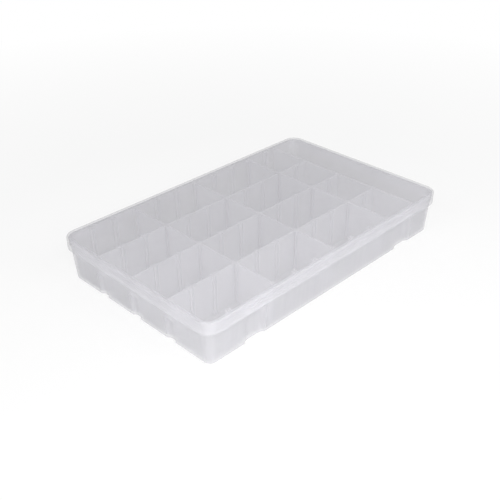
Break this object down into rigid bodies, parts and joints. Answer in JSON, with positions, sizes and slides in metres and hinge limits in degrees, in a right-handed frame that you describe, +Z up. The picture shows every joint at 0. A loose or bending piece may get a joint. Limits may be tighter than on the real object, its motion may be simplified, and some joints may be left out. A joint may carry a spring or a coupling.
{
  "type": "embroidery thread box",
  "caption": "Shallow translucent organiser for embroidery thread: a tray with rows, loose dividers in slots and a long end compartment, under a hinged lid with a deep skirt.",
  "frame": {"origin": "middle of the tray's underside", "axes": "+X along the length, towards the long compartment; +Y from the front wall to the hinges; +Z up out of the tray"},
  "size_m": [0.27, 0.1757, 0.0385],
  "materials": {
    "frosted_tray": "translucent polypropylene, satin",
    "frosted_lid": "translucent polypropylene, satin with a fine frost",
    "frosted_divider": "translucent polypropylene, satin"
  },
  "bodies": {
    "tray": {"base_tray": "frosted_tray", "divider_front_left": "frosted_divider", "divider_front_middle": "frosted_divider", "divider_front_right": "frosted_divider", "divider_second_left": "frosted_divider", "divider_second_middle": "frosted_divider", "divider_second_right": "frosted_divider", "divider_third_left": "frosted_divider", "divider_third_middle": "frosted_divider", "divider_third_right": "frosted_divider", "divider_back_left": "frosted_divider", "divider_back_middle": "frosted_divider", "divider_back_right": "frosted_divider"},
    "lid": {"lid": "frosted_lid"}
  },
  "joints": [
    {"name": "lid_hinge", "type": "hinge", "parent": "tray", "child": "lid", "pos_m": [0, 0.088, 0.028], "axis": [-1, 0, 0], "range_deg": [0, 180]}
  ]
}
